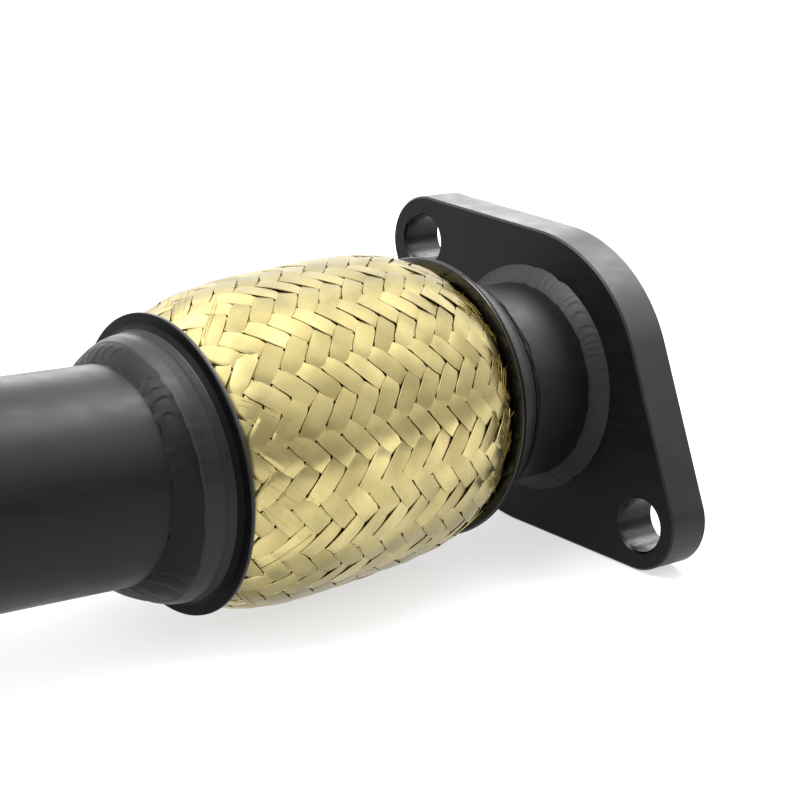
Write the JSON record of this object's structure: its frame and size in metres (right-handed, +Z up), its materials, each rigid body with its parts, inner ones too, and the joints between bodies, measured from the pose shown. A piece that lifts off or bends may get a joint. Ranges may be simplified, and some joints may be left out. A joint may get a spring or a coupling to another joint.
{
  "type": "turbo up-pipe",
  "caption": "Black coated exhaust up-pipe with a bolt flange at each end, a bent tube, and a flex joint under a woven brass-coloured metal braid",
  "frame": {"origin": "on the floor below the centre of the overall box, as the pipe lies on the lower edges of its two flanges", "axes": "X runs along the flex joint towards the neck flange's gasket face, Y is the way the turbo flange's gasket face looks, Z is up"},
  "size_m": [0.3422, 0.171, 0.0788],
  "materials": {
    "coated_steel": "satin black high-temperature coating",
    "stainless": "bare stainless sheet",
    "woven_metal": "bare flat strip, pale gold"
  },
  "bodies": {
    "root": {"neck_flange": "coated_steel", "neck_flange_weld": "coated_steel", "neck_root_weld": "coated_steel", "neck_tube": "coated_steel", "neck_collar_weld": "coated_steel", "neck_collar": "coated_steel", "neck_sleeve": "stainless", "flex_bellows": "stainless", "flex_liner": "stainless", "flex_braid": "woven_metal", "tube_sleeve": "stainless", "tube_collar": "coated_steel", "tube_collar_weld": "coated_steel", "up_tube": "coated_steel", "turbo_flange": "coated_steel", "turbo_flange_weld": "coated_steel", "turbo_root_weld": "coated_steel"}
  },
  "joints": []
}
